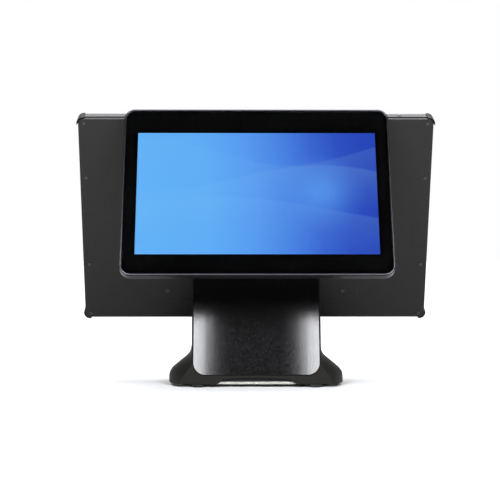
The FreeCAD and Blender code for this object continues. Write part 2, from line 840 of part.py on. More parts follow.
def main_casing():
    """Front frame of the main unit: deep wall, ledge for the glass and a set-back upper rim."""
    plate = Plate("main_front_frame")
    plate.pad(-T, seam_low, rounded(W, H, D.main_radius))
    plate.pad(seam_low, cover_inside - 0.1, rounded(W - 6, H - 6, D.main_radius - 2))
    plate.pocket(-T, glass_low, rounded(W - 3, H - 3, D.main_radius - 1.4))
    plate.pocket(ledge_low, ledge_high, rounded(350.0, 206.0, 2.0))
    plate.pocket(ledge_high, seam_low, rounded(W - D.frame_wall * 2, H - D.frame_wall * 2, 4.0))
    plate.pocket(seam_low, cover_inside, rounded(W - 9.6, H - 9.6, 3.0))
    plate.soften("Chamfer", 0.5, rim_edges(-T, W, H))
    doc.recompute()
    extras = [plate.body]
    for x, y in rear_screw_places:
        extras.append(cylinder(3.3, 15.9, (x, y, ledge_high - 0.2)))
    for x, y in chassis_places:
        extras.append(cylinder(2.2, D.lcd_thick + 0.3, (x, y, ledge_high - 0.2)))
    holes = [cylinder(1.5, 9.0, (x, y, -9.0)) for x, y in rear_screw_places]
    holes += [cylinder(1.25, 3.0, (x, y, bracket_low - 2.4)) for x, y in chassis_places]
    holes.append(box((-io_half, io_half), (-edge_y - 1, -edge_y + 6), (io_low, io_high + 0.5)))
    holes.append(cylinder(D.button_radius + 0.3, 8.0, (D.button_x, edge_y - 5, button_z), "y"))
    for side in (-1, 1):
        for step in range(5):
            x = side * (112.0 + 12.0 * step)
            holes.append(box((x - 4.0, x + 4.0), (-edge_y - 1, -edge_y + 4), (-14.0, -12.0)))
    casing = cut(fuse(*extras), fuse(*holes))
    return finish("main_front_frame", casing, main_frame)


main_casing()

glass = Plate("main_glass")
glass.pad(-T + 0.02, glass_low - 0.05, rounded(W - 3.6, H - 3.6, D.main_radius - 1.7))
glass.soften("Chamfer", 0.3, rim_edges(-T + 0.02, W - 3.6, H - 3.6))
glass.done(main_frame)

lcd = Plate("main_lcd_module")
lcd.pad(lcd_low, lcd_high, rounded(D.lcd_width, D.lcd_height, 2.0))
lcd.pocket(lcd_low, lcd_low + 0.3, rounded(344.2, 193.6, 0.5))
lcd.done(main_frame)

brackets = []
for side in (-1, 1):
    low = chassis_x - 7 if side > 0 else -chassis_x - 3
    strip = box((low, low + 10), (-92.0, 92.0), (bracket_low, bracket_high))
    holes = [cylinder(1.25, 6.0, (side * plain(chassis_x), y, -16.0)) for y in (-80.0, 0.0, 80.0)]
    brackets.append(cut(strip, fuse(*holes)))
finish("lcd_side_brackets", group(brackets), main_frame)

board_low = chassis_high + 2.6
board_high = board_low + 1.6
board_screw_places = [(x, y) for x in mirrored(84.0) for y in (-98.0, 12.0)]
chassis = Plate("main_chassis")
chassis.pad(chassis_low, chassis_high, rounded(chassis_x * 2 + 4.4, 200.0, 3.0))
chassis.pocket(
    chassis_low, chassis_high, *[circle(1.25, x, y) for x, y in chassis_places]
)
for places, radius, top in (
    (hinge_bolt_places, 4.5, cover_inside - 0.05),
    (arm_bolt_places, 4.0, cover_inside - 0.05),
    (board_screw_places, 2.5, board_low),
):
    chassis.pad(chassis_high, top, *[circle(radius, x, y) for x, y in places])
chassis.pocket(
    chassis_high, cover_inside,
    *[circle(2.0, x, y) for x, y in hinge_bolt_places],
    *[circle(1.5, x, y) for x, y in arm_bolt_places],
)
chassis.done(main_frame)
screws(
    "chassis_screws", chassis_places,
    (2.4, plain(chassis_high), plain(chassis_high) + 1.3), (1.25, plain(bracket_low) - 2.0),
    main_frame,
)

board = Plate("mainboard")
board.pad(board_low, board_high, rounded(184.0, 120.0, 2.0, 0.0, -43.0))
board.pocket(
    board_low, board_high,
    *[circle(5.2, x, y) for x, y in hinge_bolt_places if y < 17],
)
board.pocket(board_low, board_high, *[circle(1.6, x, y) for x, y in board_screw_places])
for x, y, w, h, tall in (
    (62.0, -24.0, 16.0, 16.0, 1.5),
    (-66.0, -84.0, 14.0, 14.0, 1.2),
    (58.0, -80.0, 24.0, 7.0, 3.5),
    (-20.0, 8.0, 30.0, 6.0, 3.0),
):
    board.pad(board_high, board_high + tall, rounded(w, h, 0.8, x, y))
board.done(main_frame)
screws(
    "mainboard_screws", board_screw_places,
    (2.8, plain(board_high), plain(board_high) + 1.4), (1.6, plain(board_low) + 0.1), main_frame,
)


def heatsink():
    base = box((-26.0, 22.0), (-36.0, 4.0), (board_high, board_high + 1.6))
    fins = [
        box((-26.0, 22.0), (-36.0 + 4 * step, -34.6 + 4 * step), (board_high + 1.2, cover_inside - 1.2))
        for step in range(10)
    ]
    return finish("cpu_heatsink", fuse(base, *fins), main_frame)


heatsink()
finish(
    "memory_module",
    box((-12.0, 56.0), (-76.0, -46.0), (board_high + 0.8, board_high + 2.4)), main_frame,
)
finish(
    "solid_state_drive",
    box((-84.0, -40.0), (-72.0, -50.0), (board_high + 0.8, board_high + 2.4)), main_frame,
)

speakers = []
for side in (-1, 1):
    low = 112.0 if side > 0 else -160.0
    can = box((low, low + 48), (-edge_y + 8, -edge_y + 17), (-11.3, -2.6))
    cone_hole = cylinder(3.6, 3.0, (low + 24, -edge_y + 7, -7.0), "y")
    speakers.append(cut(can, cone_hole))
finish("speakers", group(speakers), main_frame)


def rear_cover():
    """Folded sheet-steel rear cover with a low flange all round."""
    plate = Plate("main_rear_cover")
    outer = rounded(W - 1.6, H - 1.6, D.main_radius - 0.8)
    plate.pad(-D.rear_flange, 0.0, outer)
    plate.pocket(-D.rear_flange, cover_inside, rounded(W - 4, H - 4, D.main_radius - 2))
    plate.soften("Fillet", 1.1, rim_edges(0.0, W - 1.6, H - 1.6))
    plate.pocket(
        cover_inside, 0.0,
        *[circle(1.5, x, y) for x, y in rear_screw_places],
        *[circle(2.0, x, y) for x, y in hinge_bolt_places],
        *[circle(1.5, x, y) for x, y in arm_bolt_places],
        *[circle(1.25, x, y) for x, y in panel_screw_places],
        rounded(176.0, 30.0, 3.0, 0.0, -73.0),
        rounded(12.0, 7.0, 3.4, 44.0, arm_y),
    )
    doc.recompute()
    slot = box((-io_half, io_half), (-edge_y - 1, -edge_y + 4), (-7.0, io_high))
    return finish("main_rear_cover", cut(plate.body, slot), main_frame)


rear_cover()
screws("rear_cover_screws", rear_screw_places, (2.0, 0.0, 0.8), (1.5, -8.0), main_frame)

panel = Plate("service_panel")
panel.pad(0.0, 1.0, rounded(D.panel_width, D.panel_height, 8.0, 0.0, panel_y))
panel.pocket(0.0, 1.0, *[circle(1.25, x, y) for x, y in panel_screw_places])
panel.soften("Chamfer", 0.5, rim_edges(1.0, D.panel_width, 300.0))
panel.done(main_frame)
screws("service_panel_screws", panel_screw_places, (2.4, 1.0, 1.9), (1.25, -2.6), main_frame)


def corner_caps():
    """Four thin corner guards that stand 1 mm proud of both edges."""
    shell = Plate("cap_ring")
    shell.pad(-T + 0.4, -0.5, rounded(W + 2, H + 2, D.main_radius + 1))
    shell.pocket(-T + 0.4, -0.5, rounded(W + 0.04, H + 0.04, D.main_radius))
    reach = 8.5
    corners = []
    for x in (-1, 1):
        for y in (-1, 1):
            px = (W / 2 + 1 - reach) if x > 0 else (-(W / 2) - 1)
            py = (H / 2 + 1 - reach) if y > 0 else (-(H / 2) - 1)
            corners.append(box((px, px + reach), (py, py + reach), (-T, 0.0)))
    return finish("corner_caps", common(shell.body, group(corners)), main_frame)


corner_caps()

# connectors along the lower edge, each a metal or plastic shell with its mouth downwards
mouth_y = -edge_y + 0.8
CONNECTORS = {
    # name: (centre x, width, height, depth, socket width, socket height, socket depth)
    "lan_port": [(-10.0, 16.0, 8.6, 15.0, 11.8, 7.0, 12.5)],
    "serial_ports": [
        (x, 16.0, 8.6, 15.0, 11.8, 7.0, 12.5) for x in (-52.0, -32.0)
    ],
    "cash_drawer_port": [(-74.0, 13.6, 8.6, 14.0, 9.8, 6.9, 11.0)],
}
io_centre = -6.5
for label, rows in CONNECTORS.items():
    made = []
    for x, wide, tall, deep, hole_wide, hole_tall, hole_deep in rows:
        shell = box(
            (x - wide / 2, x + wide / 2), (mouth_y, mouth_y + deep),
            (io_centre - tall / 2, io_centre + tall / 2),
        )
        hole = box(
            (x - hole_wide / 2, x + hole_wide / 2), (mouth_y - 1, mouth_y + hole_deep),
            (io_centre - hole_tall / 2, io_centre + hole_tall / 2),
        )
        made.append(cut(shell, hole))
    finish(label, group(made) if len(made) > 1 else made[0], main_frame)

usb_places = (12.0, 28.0, 44.0, 60.0)
usb_wide, usb_tall, usb_skin = 14.4, 6.8, 0.9
usb = []
for x in usb_places:
    half, rise = usb_wide / 2, usb_tall / 2
    shell = box((x - half, x + half), (mouth_y, mouth_y + 14), (io_centre - rise, io_centre + rise))
    half, rise = half - usb_skin, rise - usb_skin
    hole = box((x - half, x + half), (mouth_y - 1, mouth_y + 10), (io_centre - rise, io_centre + rise))
    tongue = box((x - 5.5, x + 5.5), (mouth_y + 1, mouth_y + 11), (io_centre - 1.9, io_centre - 0.1))
    usb.append(fuse(cut(shell, hole), tongue))
finish("usb_ports", group(usb), main_frame)

jack_x, jack_wide, jack_tall = 78.5, 9.6, 8.6
jack = cut(
    box(
        (jack_x - jack_wide / 2, jack_x + jack_wide / 2), (mouth_y, mouth_y + 13),
        (io_centre - jack_tall / 2, io_centre + jack_tall / 2),
    ),
    cylinder(3.1, 10.0, (jack_x, mouth_y - 1, io_centre), "y"),
)
jack_pin = cylinder(1.0, 10.0, (jack_x, mouth_y + 1, io_centre), "y")
finish("power_jack", fuse(jack, jack_pin), main_frame)


def io_bracket():
    """Steel strip round the sockets, just inside the lower edge."""
    half = io_half - 0.4
    plate = box((-half, half), (-edge_y + 2.6, -edge_y + 3.6), (io_low + 0.1, io_high - 0.1))
    holes = []
    for rows in CONNECTORS.values():
        for x, wide, tall, *_ in rows:
            holes.append((x, wide, tall))
    for x in usb_places:
        holes.append((x, usb_wide, usb_tall))
    holes.append((jack_x, jack_wide, jack_tall))
    tools = [
        box(
            (x - wide / 2 - 0.1, x + wide / 2 + 0.1), (-edge_y, -edge_y + 6),
            (io_centre - tall / 2 - 0.1, io_centre + tall / 2 + 0.1),
        )
        for x, wide, tall in holes
    ]
    return finish("io_bracket", cut(plate, fuse(*tools)), main_frame)


io_bracket()

# main half of the tilt hinge, bolted through the rear cover into the chassis
hinge_in_main = main_frame.placement().inverse().multVec(hinge_at)
hinge_axis_y, hinge_axis_z = hinge_in_main.y, hinge_in_main.z


def main_hinge_plate():
    """Steel flange with two ears that turn on the stand's hinge shafts."""
    plate = Plate("hinge_flange")
    low, top = 0.05, 2.5
    plate.pad(low, top, rounded(90.0, 88.0, 6.0, 0.0, 0.5))
    plate.pocket(low, top, *[circle(2.0, x, y) for x, y in hinge_bolt_places])
    ears = []
    half_ear, ear_thick = D.hinge_ear, 4.0
    span = (-half_ear + hinge_axis_y, half_ear + hinge_axis_y)
    for x in (27.0, -31.0):
        ears.append(box((x, x + ear_thick), span, (2.0, hinge_axis_z)))
        ears.append(cylinder(D.hinge_ear, ear_thick, (x, hinge_axis_y, hinge_axis_z), "x"))
    bore = cylinder(D.hinge_pin + D.running_gap, 100.0, (-50.0, hinge_axis_y, hinge_axis_z), "x")
    return finish("main_hinge_plate", cut(fuse(plate.body, *ears), bore), main_frame)


main_hinge_plate()
screws("hinge_plate_screws", hinge_bolt_places, (3.6, 2.5, 4.3), (2.0, -9.0), main_frame)

# ---------------------------------------------------------------- customer display

CW, CH, CE = D.disp_width, D.disp_height, D.disp_edge
c_glass_low = -2.1
c_ledge_low = -3.6
c_lcd_high = c_ledge_low - 0.1
c_lcd_low = -(D.disp_lcd_thick - c_lcd_high)
c_screw_places = [
    (x, y) for x in (-(CW / 2 - 6.6), 0.0, CW / 2 - 6.6) for y in mirrored(CH / 2 - 6.6)
]
c_plate_high = -(CE - 1.5)


def customer_casing():
    """Slim metal rim of the customer display with a ledge that carries the glass."""
    rim = D.disp_rim
    plate = Plate("customer_frame")
    plate.pad(-CE, 0.0, rounded(CW, CH, D.disp_radius))
    plate.pocket(c_glass_low, 0.0, rounded(CW - rim * 2, CH - rim * 2, D.disp_radius - rim))
    plate.pocket(c_ledge_low, c_glass_low, rounded(CW - 20, CH - 20, 4.0))
    plate.pocket(-CE, c_ledge_low, rounded(CW - 5, CH - 5, D.disp_radius - 2.5))
    plate.soften("Fillet", 0.7, rim_edges(0.0, CW, CH))
    plate.soften("Fillet", 1.4, rim_edges(-CE, CW, CH))
    doc.recompute()
    posts = [cylinder(2.8, 4.4, (x, y, c_plate_high + 0.05)) for x, y in c_screw_places]
    holes = [cylinder(1.25, 5.5, (x, y, -9.0)) for x, y in c_screw_places]
    return finish("customer_frame", cut(fuse(plate.body, *posts), fuse(*holes)), disp_frame)


customer_casing()

c_glass = Plate("customer_glass")
c_glass.pad(c_glass_low + 0.05, -0.05, rounded(CW - 4.4, CH - 4.4, D.disp_radius - 2.2))
c_glass.soften("Chamfer", 0.3, rim_edges(-0.05, CW - 4.4, CH - 4.4))
c_glass.done(disp_frame)

c_lcd = Plate("customer_lcd_module")
drop = -D.disp_lcd_drop
c_lcd.pad(c_lcd_low, c_lcd_high, rounded(D.disp_lcd_width, D.disp_lcd_height, 2.0, 0.0, drop))
c_lcd.pocket(c_lcd_high - 0.3, c_lcd_high, rounded(256.3, 144.2, 0.5, 0.0, drop))
c_lcd.done(disp_frame)

hump_low = -CE - D.hump_depth
hinge_block_places = [(x, D.pivot_up + y) for x, y in spots(27.0, 12.0)]
c_board_y = -18.0
c_board_low = -12.5
board_posts = [(x, c_board_y + y) for x, y in spots(60.0, 28.0)]


def customer_back():
    """Back cover: a flat lid inside the rim with a raised housing for the driver board."""
    plate = Plate("customer_back_cover")
    plate.pad(-CE, c_plate_high, rounded(CW - 5.4, CH - 5.4, D.disp_radius - 2.7))
    plate.pad(hump_low, -CE, rounded(D.hump_width, D.hump_height, 10.0))
    plate.soften("Fillet", 2.5, rim_edges(hump_low, D.hump_width, D.hump_height))
    skin = 1.6
    hollow = rounded(D.hump_width - skin * 2, D.hump_height - skin * 2, 8.4)
    plate.pocket(hump_low + skin, c_plate_high, hollow)
    plate.pocket(-CE, c_plate_high, *[circle(1.25, x, y) for x, y in c_screw_places])
    plate.pocket(
        hump_low, hump_low + skin,
        *[circle(1.5, x, y) for x, y in hinge_block_places],
        rounded(12.0, 7.0, 3.4, 0.0, -12.0),
    )
    vents = [
        rounded(2.4, 26.0, 1.19, side * (52.0 + 6.0 * step), -30.0)
        for side in (-1, 1) for step in range(6)
    ]
    plate.pocket(hump_low, hump_low + skin, *vents)
    plate.pad(hump_low + skin - 0.05, c_board_low, *[circle(2.2, x, y) for x, y in board_posts])
    return plate.done(disp_frame)


customer_back()
screws(
    "customer_back_screws", c_screw_places,
    (2.4, -plain(CE), -plain(CE) - 1.0), (1.25, -5.0), disp_frame,
)
c_board = Plate("customer_driver_board")
c_board_high = c_board_low + 1.6
c_board.pad(c_board_low, c_board_high, rounded(134.0, 66.0, 2.0, 0.0, c_board_y))
c_board.pad(c_board_high, c_board_high + 1.7, rounded(18.0, 18.0, 1.0, 10.0, c_board_y - 2.0))
c_board.done(disp_frame)

pivot_z = -D.pivot_back
knuckle_radius = 8.0


def customer_hinge():
    """Two knuckles on a flange behind the display."""
    plate = Plate("knuckle_flange")
    plate.pad(hump_low - 2.0, hump_low - 0.05, rounded(66.0, 36.0, 4.0, 0.0, D.pivot_up))
    plate.pocket(
        hump_low - 2.0, hump_low, *[circle(1.5, x, y) for x, y in hinge_block_places]
    )
    ears = []
    span = (D.pivot_up - knuckle_radius, D.pivot_up + knuckle_radius)
    for x in (-22.0, 18.0):
        ears.append(box((x, x + 4), span, (pivot_z, hump_low - 1.5)))
        ears.append(cylinder(knuckle_radius, 4.0, (x, D.pivot_up, pivot_z), "x"))
    bore = cylinder(D.pivot_pin, 60.0, (-30.0, D.pivot_up, pivot_z), "x")
    return finish("customer_hinge_block", cut(fuse(plate.body, *ears), bore), disp_frame)


customer_hinge()
screws(
    "customer_hinge_screws", hinge_block_places,
    (2.6, plain(hump_low) - 2.0, plain(hump_low) - 3.6), (1.5, plain(hump_low) + 3.4), disp_frame,
)
pin = cylinder(D.pivot_pin, 50.0, (-25.0, D.pivot_up, pivot_z), "x")
cap_left = cylinder(5.0, 2.4, (-24.6, D.pivot_up, pivot_z), "x")
cap_right = cylinder(5.0, 2.4, (22.2, D.pivot_up, pivot_z), "x")
finish("customer_pivot_pin", fuse(pin, cap_left, cap_right), disp_frame)


def display_arm():
    """Cast arm on the main unit's back that carries the customer display."""
    pivot = disp_frame.placement().multVec(Vector(0, plain(D.pivot_up), plain(pivot_z)))
    local = main_frame.placement().inverse().multVec(pivot)
    plate = Plate("arm_flange")
    plate.pad(0.05, 4.0, rounded(62.0, 29.0, 5.0, 0.0, arm_y))
    plate.pocket(0.05, 4.0, *[circle(1.5, x, y) for x, y in arm_bolt_places])
    half_arm = 15.6
    span = (local.y - knuckle_radius, local.y + knuckle_radius)
    stem = box((-half_arm, half_arm), span, (3.0, local.z))
    knuckle = cylinder(knuckle_radius, 2 * half_arm, (-half_arm, local.y, local.z), "x")
    bore = cylinder(D.pivot_pin + D.running_gap, 60.0, (-30.0, local.y, local.z), "x")
    arm = cut(fuse(plate.body, stem, knuckle), bore)
    finish("display_arm", arm, main_frame)
    discs = []
    for low in (-17.9, 15.7):
        disc = cylinder(7.2, 2.2, (low, local.y, local.z), "x")
        discs.append(cut(disc, cylinder(D.pivot_pin + 0.1, 4.0, (low - 1, local.y, local.z), "x")))
    finish("display_arm_washers", group(discs), main_frame)


display_arm()
screws("display_arm_screws", arm_bolt_places, (2.8, 4.0, 5.6), (1.5, -8.0), main_frame)

# ---------------------------------------------------------------- power button


def power_button():
    at_x = D.button_x
    stem_low = edge_y - 5.4
    cap = cylinder(D.button_radius, 6.3, (at_x, stem_low, button_z), "y")
    collar = cylinder(3.4, 1.0, (at_x, edge_y - D.frame_wall - 1.1, button_z), "y")
    finish("power_button", fuse(cap, collar), main_frame)
    switch_board = box(
        (at_x - 8, at_x + 8), (edge_y - 9.6, edge_y - 8.4), (button_z - 2.0, button_z + 4.0)
    )
    switch = box(
        (at_x - 2, at_x + 2), (edge_y - 8.5, edge_y - 6.1), (button_z - 1.9, button_z + 2.0)
    )
    finish("power_switch_board", fuse(switch_board, switch), main_frame)


power_button()

# ---------------------------------------------------------------- checks and files

doc.recompute()
for item in doc.Objects:
    broken = [word for word in item.State if word in ("Invalid", "Error")]
    if broken:
        raise RuntimeError("failed feature " + item.Name + " " + item.Label + " " + str(item.State))
for label, item in parts.items():
    if item.Shape.isNull() or not item.Shape.isValid():
        raise RuntimeError("bad shape in " + label)

for item in doc.Objects:
    if item.TypeId == "PartDesign::Pocket":
        before = item.BaseFeature.Shape.Volume
        if not item.Shape.Volume < before - 0.01:
            raise RuntimeError("a pocket cuts nothing: " + item.Name)

os.makedirs("parts", exist_ok=True)
for label, item in parts.items():
    item.Shape.exportStep("parts/" + label + ".step")
    solids = len(item.Shape.Solids)
    print(label, "solids", solids, "volume", round(item.Shape.Volume / 1000, 2), "cm3")
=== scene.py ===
import json
import math

import bmesh
import bpy
from mathutils import Matrix, Vector

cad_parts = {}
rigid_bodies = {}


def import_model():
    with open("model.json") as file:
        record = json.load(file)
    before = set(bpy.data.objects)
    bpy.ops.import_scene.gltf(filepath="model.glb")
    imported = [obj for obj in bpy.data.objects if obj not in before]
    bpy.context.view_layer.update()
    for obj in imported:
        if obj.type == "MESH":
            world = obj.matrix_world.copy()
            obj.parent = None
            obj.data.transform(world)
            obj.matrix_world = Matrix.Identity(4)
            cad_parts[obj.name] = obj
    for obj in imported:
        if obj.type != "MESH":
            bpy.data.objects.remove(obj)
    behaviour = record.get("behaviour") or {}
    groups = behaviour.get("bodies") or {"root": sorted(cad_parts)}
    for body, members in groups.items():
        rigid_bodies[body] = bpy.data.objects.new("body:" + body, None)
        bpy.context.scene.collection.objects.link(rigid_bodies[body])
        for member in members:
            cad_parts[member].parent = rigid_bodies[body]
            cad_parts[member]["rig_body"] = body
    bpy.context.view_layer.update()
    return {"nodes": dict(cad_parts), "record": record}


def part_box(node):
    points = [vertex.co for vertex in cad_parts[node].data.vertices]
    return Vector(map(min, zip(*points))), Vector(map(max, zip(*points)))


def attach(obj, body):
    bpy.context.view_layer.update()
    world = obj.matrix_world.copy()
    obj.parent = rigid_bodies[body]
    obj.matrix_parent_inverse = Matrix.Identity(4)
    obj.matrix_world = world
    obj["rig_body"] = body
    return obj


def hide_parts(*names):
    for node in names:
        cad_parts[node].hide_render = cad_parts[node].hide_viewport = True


# A dual-screen counter terminal.  Every length is in metres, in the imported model's frame:
# +X to the customer's right, -Y towards the customer, +Z up.

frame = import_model()
MM = 0.001


# ---------------------------------------------------------------- colours

def linear(red, green, blue):
    """Linear colour of a 0-255 display colour."""
    def channel(value):
        share = value / 255
        if share <= 0.04045:
            return share / 12.92
        return ((share + 0.055) / 1.055) ** 2.4
    return (channel(red), channel(green), channel(blue), 1.0)


# ---------------------------------------------------------------- node materials

def set_span(map_range, low, high, start, end):
    """Sets a Map Range node to take low..high to start..end."""
    for socket, value in (("From Min", low), ("From Max", high), ("To Min", start), ("To Max", end)):
        map_range.inputs[socket].default_value = value


class Surface:
    """A node material: a Principled shader and short helpers that feed it."""

    def __init__(self, name, **settings):
        self.material = bpy.data.materials.new(name)
        self.material.use_nodes = True
        self.tree = self.material.node_tree
        self.shader = self.tree.nodes["Principled BSDF"]
        for socket, value in settings.items():
            self.shader.inputs[socket.replace("_", " ")].default_value = value
        self.place = self.node("ShaderNodeTexCoord").outputs["Object"]

    def node(self, kind, **settings):
        made = self.tree.nodes.new(kind)
        for name, value in settings.items():
            setattr(made, name, value)
        return made

    def join(self, source, target):
        self.tree.links.new(source, target)

    def noise(self, scale, detail=2.0, stretch=None):
        """Noise in object space, `scale` features per metre, squeezed along each axis by stretch."""
        made = self.node("ShaderNodeTexNoise")
        made.inputs["Scale"].default_value = scale
        made.inputs["Detail"].default_value = detail
        where = self.place
        if stretch:
            mapping = self.node("ShaderNodeMapping")
            mapping.inputs["Scale"].default_value = stretch
            self.join(self.place, mapping.inputs["Vector"])
            where = mapping.outputs["Vector"]
        self.join(where, made.inputs["Vector"])
        return made.outputs["Fac"]

    def cells(self, scale, feature="F1"):
        """Distance to the nearest (F1) or second nearest (F2) of scattered points."""
        made = self.node("ShaderNodeTexVoronoi", feature=feature)
        made.inputs["Scale"].default_value = scale
        self.join(self.place, made.inputs["Vector"])
        return made.outputs["Distance"]

    def span(self, source, low, high, start, end):
        """Maps source from low..high to start..end."""
        made = self.node("ShaderNodeMapRange")
        self.join(source, made.inputs["Value"])
        set_span(made, low, high, start, end)
        return made.outputs["Result"]

    def feed(self, value, socket):
        """Sets a socket to a constant or joins a source to it."""
        if isinstance(value, (int, float, tuple)):
            socket.default_value = value
        else:
            self.join(value, socket)

    def reckon(self, operation, *values):
        """A Math node over one or two values."""
        made = self.node("ShaderNodeMath", operation=operation)
        for socket, value in zip(made.inputs, values):
            self.feed(value, socket)
        return made.outputs["Value"]

    def ramp(self, source, *stops):
        """Colours at shares of source, as (share, colour)."""
        made = self.node("ShaderNodeValToRGB")
        elements = made.color_ramp.elements
        while len(elements) < len(stops):
            elements.new(0.5)
        for element, (share, colour) in zip(elements, stops):
            element.position = share
            element.color = colour
        self.join(source, made.inputs["Fac"])
        return made.outputs["Color"]

    def mix(self, factor, first, second):
        """Colour first where factor is 0, second where it is 1."""
        made = self.node("ShaderNodeMix", data_type="RGBA")
        # the colour sockets of a Mix node share their names with the others, so they go by number
        sockets = (made.inputs["Factor"], made.inputs[6], made.inputs[7])
        for socket, value in zip(sockets, (factor, first, second)):
            self.feed(value, socket)
        return made.outputs[2]

    def colour(self, source):
        self.join(source, self.shader.inputs["Base Color"])

    def gloss(self, source):
        self.join(source, self.shader.inputs["Roughness"])

    def bump(self, *layers):
        """Stacks bumps, each (height source, depth in metres, strength)."""
        normal = None
        for source, depth, strength in layers:
            made = self.node("ShaderNodeBump")
            made.inputs["Strength"].default_value = strength
            made.inputs["Distance"].default_value = depth
            self.join(source, made.inputs["Height"])
            if normal is not None:
                self.join(normal, made.inputs["Normal"])
            normal = made.outputs["Normal"]
        self.join(normal, self.shader.inputs["Normal"])


def shades(colour, *factors):
    """A colour made darker or lighter by each factor."""
    return [tuple(min(1.0, c * f) for c in colour[:3]) + (1.0,) for f in factors]


def powder_coat(name, colour, grain=1300.0, specular=0.3, low=0.5, high=0.68):
    """Textured powder coat: fine wrinkles, a speckle of lighter grains and slow mottling.

    Roughness runs from low to high with the wrinkles, of which there are `grain` per metre.
    """
    s = Surface(name, Specular_IOR_Level=specular)
    wrinkle = s.noise(grain, 4.0)
    coarse = s.noise(grain * 0.36, 3.0)
    speckle = s.cells(grain * 0.7)
    mottle = s.noise(9.0, 3.0)
    dark, plain, light = shades(colour, 0.6, 1.0, 1.8)
    base = s.ramp(wrinkle, (0.3, dark), (0.55, plain), (0.78, light))
    base = s.mix(s.span(speckle, 0.0, 0.35, 0.3, 0.0), base, light)
    base = s.mix(s.span(coarse, 0.35, 0.65, 0.5, 0.0), base, dark)
    base = s.mix(s.span(mottle, 0.35, 0.7, 0.0, 0.25), base, dark)
    s.colour(base)
    s.gloss(s.span(wrinkle, 0.3, 0.7, low, high))
    s.bump((coarse, 0.3 * MM, 0.45), (wrinkle, 0.12 * MM, 0.5), (speckle, 0.08 * MM, 0.3))
    return s.material


def moulded(name, colour, grain=2200.0, low=0.5, high=0.66, specular=0.3):
    """Moulded plastic with a fine spark-eroded texture and faint flow marks."""
    s = Surface(name, Specular_IOR_Level=specular)
    texture = s.noise(grain, 3.0)
    flow = s.noise(14.0, 4.0, (1.0, 0.35, 0.6))
    dark, plain, light = shades(colour, 0.82, 1.0, 1.22)
    base = s.ramp(flow, (0.3, dark), (0.5, plain), (0.72, light))
    base = s.mix(s.span(texture, 0.4, 0.7, 0.0, 0.3), base, light)
    s.colour(base)
    s.gloss(s.span(texture, 0.3, 0.7, low, high))
    s.bump((texture, 0.06 * MM, 0.4), (flow, 0.05 * MM, 0.15))
    return s.material


def satin_metal(name, colour, roughness, grain=2600.0, stretch=None):
    """Blasted and anodised metal: tiny sparkling grains, or a brushed grain when stretched."""
    s = Surface(name, Metallic=1.0)
    sparkle = s.noise(grain, 2.0, stretch)
    cloud = s.noise(18.0, 2.0)
    dark, plain, light = shades(colour, 0.62, 1.0, 1.5)
    base = s.ramp(sparkle, (0.3, dark), (0.5, plain), (0.72, light))
    base = s.mix(s.span(cloud, 0.3, 0.7, 0.0, 0.12), base, dark)
    s.colour(base)
    s.gloss(s.span(sparkle, 0.3, 0.7, roughness - 0.04, roughness + 0.05))
    s.bump((sparkle, 0.03 * MM, 0.35))
    return s.material


def satin_paint(name, colour):
    """Satin lacquer over fine blasted sheet: dark, with a soft broad gloss full of tiny grains."""
    s = Surface(name, Specular_IOR_Level=0.5)
    grain = s.noise(800.0, 2.0)
    flecks = s.cells(1500.0)
    cloud = s.noise(20.0, 2.0)
    dark, plain, light = shades(colour, 0.7, 1.0, 1.5)
    base = s.ramp(grain, (0.3, dark), (0.5, plain), (0.75, light))
    base = s.mix(s.span(cloud, 0.3, 0.7, 0.0, 0.2), base, dark)
    s.colour(base)
    s.gloss(s.span(grain, 0.3, 0.7, 0.1, 0.24))
    s.bump((grain, 0.08 * MM, 0.4), (flecks, 0.04 * MM, 0.4))
    return s.material


def gloss_paint(name, colour, roughness, specular):
    """Glossy lacquer over metal with a little orange peel and dust."""
    s = Surface(name, Specular_IOR_Level=specular)
    peel = s.noise(260.0, 3.0)
    dust = s.noise(1800.0, 2.0)
    dark, light = shades(colour, 0.8, 1.4)
    s.colour(s.ramp(dust, (0.35, dark), (0.75, light)))
    s.gloss(s.span(dust, 0.3, 0.7, roughness, roughness + 0.08))
    s.bump((peel, 0.03 * MM, 0.2))
    return s.material


def rubber(name):
    """Dull rubber with a dusty bloom."""
    s = Surface(name, Specular_IOR_Level=0.25)
    skin = s.noise(1500.0, 3.0)
    dust = s.noise(160.0, 4.0)
    s.colour(s.ramp(dust, (0.35, linear(24, 24, 23)), (0.75, linear(44, 43, 41))))
    s.gloss(s.span(skin, 0.3, 0.7, 0.72, 0.9))
    s.bump((skin, 0.08 * MM, 0.4))
    return s.material


def circuit(name):
    """Circuit board: dark green mask over a faint pattern of tracks."""
    s = Surface(name, Specular_IOR_Level=0.5)
    tracks = s.cells(240.0, "F2")
    weave = s.noise(900.0, 2.0)
    mask, track, shadow = linear(10, 62, 34), linear(22, 92, 52), linear(9, 54, 30)
    s.colour(s.ramp(tracks, (0.4, mask), (0.5, track), (0.6, shadow)))
    s.gloss(s.span(weave, 0.3, 0.7, 0.28, 0.42))
    s.bump((tracks, 0.05 * MM, 0.3))
    return s.material


def cover_glass(name):
    """Clear hardened glass with a faint coating and the slightest waviness."""
    # an anti-glare coating cuts the reflections, hence the low index
    tint = (0.98, 0.985, 0.985, 1.0)
    s = Surface(name, Base_Color=tint, Transmission_Weight=1.0, IOR=1.06)
    haze = s.noise(30.0, 3.0)
    s.gloss(s.span(haze, 0.3, 0.7, 0.012, 0.03))
    s.bump((haze, 0.02 * MM, 0.05))
    return s.material


def black_print(name):
    """Black ink printed on the back of the glass."""
    s = Surface(name, Specular_IOR_Level=0.01)
    grain = s.noise(700.0, 2.0)
    s.colour(s.ramp(grain, (0.3, linear(1, 1, 1)), (0.7, linear(3, 3, 3))))
    s.gloss(s.span(grain, 0.3, 0.7, 0.7, 0.9))
    return s.material


